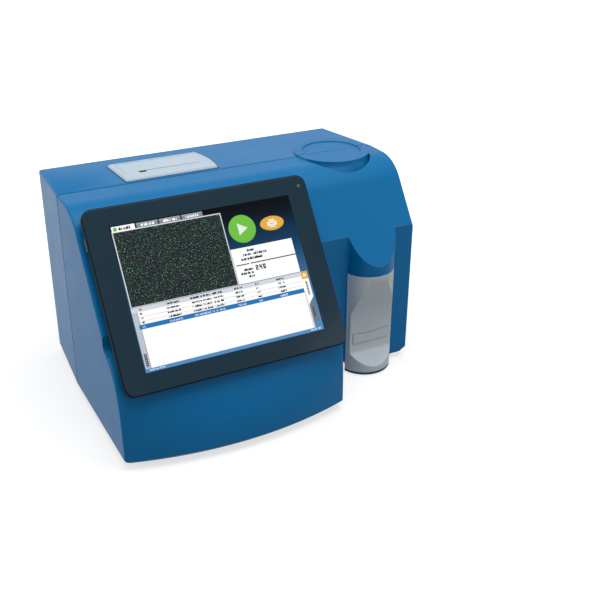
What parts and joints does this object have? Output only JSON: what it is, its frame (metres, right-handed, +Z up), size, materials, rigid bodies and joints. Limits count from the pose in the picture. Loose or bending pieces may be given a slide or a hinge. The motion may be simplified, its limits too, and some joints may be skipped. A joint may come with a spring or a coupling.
{
  "type": "somatic cell counter",
  "caption": "Bench-top somatic cell counter: sloped blue housing with a tablet, a grey sample column with a chip drawer, and a ticket printer on top.",
  "frame": {"origin": "middle of the overall box's underside, where the feet stand", "axes": "+X to the user's right, along the wide front; +Y to the back; +Z up"},
  "size_m": [0.379, 0.2934, 0.2437],
  "materials": {
    "housing": "satin moulded blue",
    "housing_dark": "satin moulded dark blue",
    "column": "satin moulded grey",
    "panel": "satin moulded light grey",
    "steel": "zinc-plated sheet",
    "screw": "plated",
    "socket_steel": "nickel-plated shell",
    "ground_steel": "ground and polished",
    "machined": "machined",
    "black_anodised": "black anodised",
    "objective": "turned, lacquered",
    "motor": "black",
    "filter": "coated",
    "clear": "clear polymer",
    "board": "solder resist",
    "tablet_shell": "fine-grained black",
    "trim": "satin",
    "bezel": "glossy charcoal",
    "display": "lit display",
    "lens": "glossy",
    "key": "satin grey",
    "black_plastic": "moulded",
    "paper": "uncoated paper",
    "rubber": "moulded"
  },
  "bodies": {
    "housing": {"bracket_screws": "screw", "chassis_plate": "steel", "column_base": "housing_dark", "column_cover": "column", "drawer_motor": "motor", "drawer_rails": "machined", "fan_frame": "black_plastic", "fan_guard": "steel", "floor_screws": "screw", "focus_motor": "motor", "foot_1": "rubber", "foot_2": "rubber", "foot_3": "rubber", "foot_4": "rubber", "foot_5": "rubber", "front_cover": "housing", "guard_screws": "screw", "guide_rods": "ground_steel", "lamp_filter": "filter", "lamp_housing": "machined", "lan_socket": "socket_steel", "main_board": "board", "optics_frame": "machined", "panel_screws": "screw", "paper_bucket": "black_plastic", "power_inlet": "black_plastic", "power_supply": "steel", "print_head": "motor", "printer_bezel": "panel", "rear_housing": "housing", "rear_panel": "steel", "rocker_frame": "black_plastic", "tablet_back_shell": "tablet_shell", "tablet_bracket": "black_plastic", "tablet_camera_lens": "lens", "tablet_display": "display", "tablet_glass": "bezel", "tablet_trim": "trim", "usb_sockets": "socket_steel"},
    "drawer": {"chip_drawer": "column", "counting_chip": "clear"},
    "drawer_screw": {"drawer_leadscrew": "ground_steel"},
    "focus": {"focus_carriage": "machined", "objective": "objective", "camera_tube": "black_anodised", "camera_board": "board"},
    "focus_screw": {"focus_leadscrew": "ground_steel"},
    "lid": {"printer_lid": "panel"},
    "platen": {"platen_roller": "rubber"},
    "paper": {"paper_roll": "paper"},
    "latch": {"printer_latch_button": "black_plastic"},
    "volume_rocker": {"tablet_volume_rocker": "key"},
    "power_key": {"tablet_power_key": "key"},
    "mains_rocker": {"rocker_switch": "black_plastic"},
    "fan": {"fan_rotor": "black_plastic"}
  },
  "joints": [
    {"name": "drawer_slide", "type": "slide", "parent": "housing", "child": "drawer", "axis": [0, -1, 0], "range_m": [0, 0.07]},
    {"name": "drawer_screw_spin", "type": "hinge", "parent": "housing", "child": "drawer_screw", "pos_m": [0.14751, -0.0547, 0.0315], "axis": [0, 1, 0], "range_deg": [-3200, 3200]},
    {"name": "focus_slide", "type": "slide", "parent": "housing", "child": "focus", "axis": [0, 0, 1], "range_m": [-0.003, 0.003]},
    {"name": "focus_screw_spin", "type": "hinge", "parent": "housing", "child": "focus_screw", "pos_m": [0.13431, 0.0253, 0.0695], "axis": [0, 0, 1], "range_deg": [-600, 600]},
    {"name": "printer_lid_hinge", "type": "hinge", "parent": "housing", "child": "lid", "pos_m": [-0.0495, 0.10451, 0.2361], "axis": [-1, 0, 0], "range_deg": [0, 90]},
    {"name": "platen_spin", "type": "hinge", "parent": "lid", "child": "platen", "pos_m": [-0.0495, 0.07259, 0.233], "axis": [1, 0, 0], "continuous": true},
    {"name": "paper_roll_spin", "type": "hinge", "parent": "housing", "child": "paper", "pos_m": [-0.0495, 0.0852, 0.20975], "axis": [1, 0, 0], "continuous": true},
    {"name": "latch_press", "type": "slide", "parent": "housing", "child": "latch", "axis": [0, -0.0565, -0.9984], "range_m": [0, 0.0012], "stiffness_N_per_m": 400, "springref_m": -0.0005},
    {"name": "volume_rocker_tip", "type": "hinge", "parent": "housing", "child": "volume_rocker", "pos_m": [-0.1829, -0.0433, 0.21339], "axis": [0, -0.8241, 0.5664], "range_deg": [-2, 2], "stiffness_Nm_per_rad": 0.05},
    {"name": "power_key_press", "type": "slide", "parent": "housing", "child": "power_key", "axis": [0, -0.5664, -0.8241], "range_m": [0, 0.0004], "stiffness_N_per_m": 500, "springref_m": -0.0002},
    {"name": "mains_rocker_tip", "type": "hinge", "parent": "housing", "child": "mains_rocker", "pos_m": [-0.0925, 0.1373, 0.0435], "axis": [-1, 0, 0], "range_deg": [0, 14]},
    {"name": "fan_spin", "type": "hinge", "parent": "housing", "child": "fan", "pos_m": [0.0185, 0.1253, 0.1295], "axis": [0, 1, 0], "continuous": true}
  ],
  "couplings": [
    {"joint": "drawer_screw_spin", "follows": "drawer_slide", "rad_per_m": 785.4},
    {"joint": "focus_screw_spin", "follows": "focus_slide", "rad_per_m": 3141.6},
    {"joint": "platen_spin", "follows": "paper_roll_spin", "ratio": -4.4048}
  ]
}
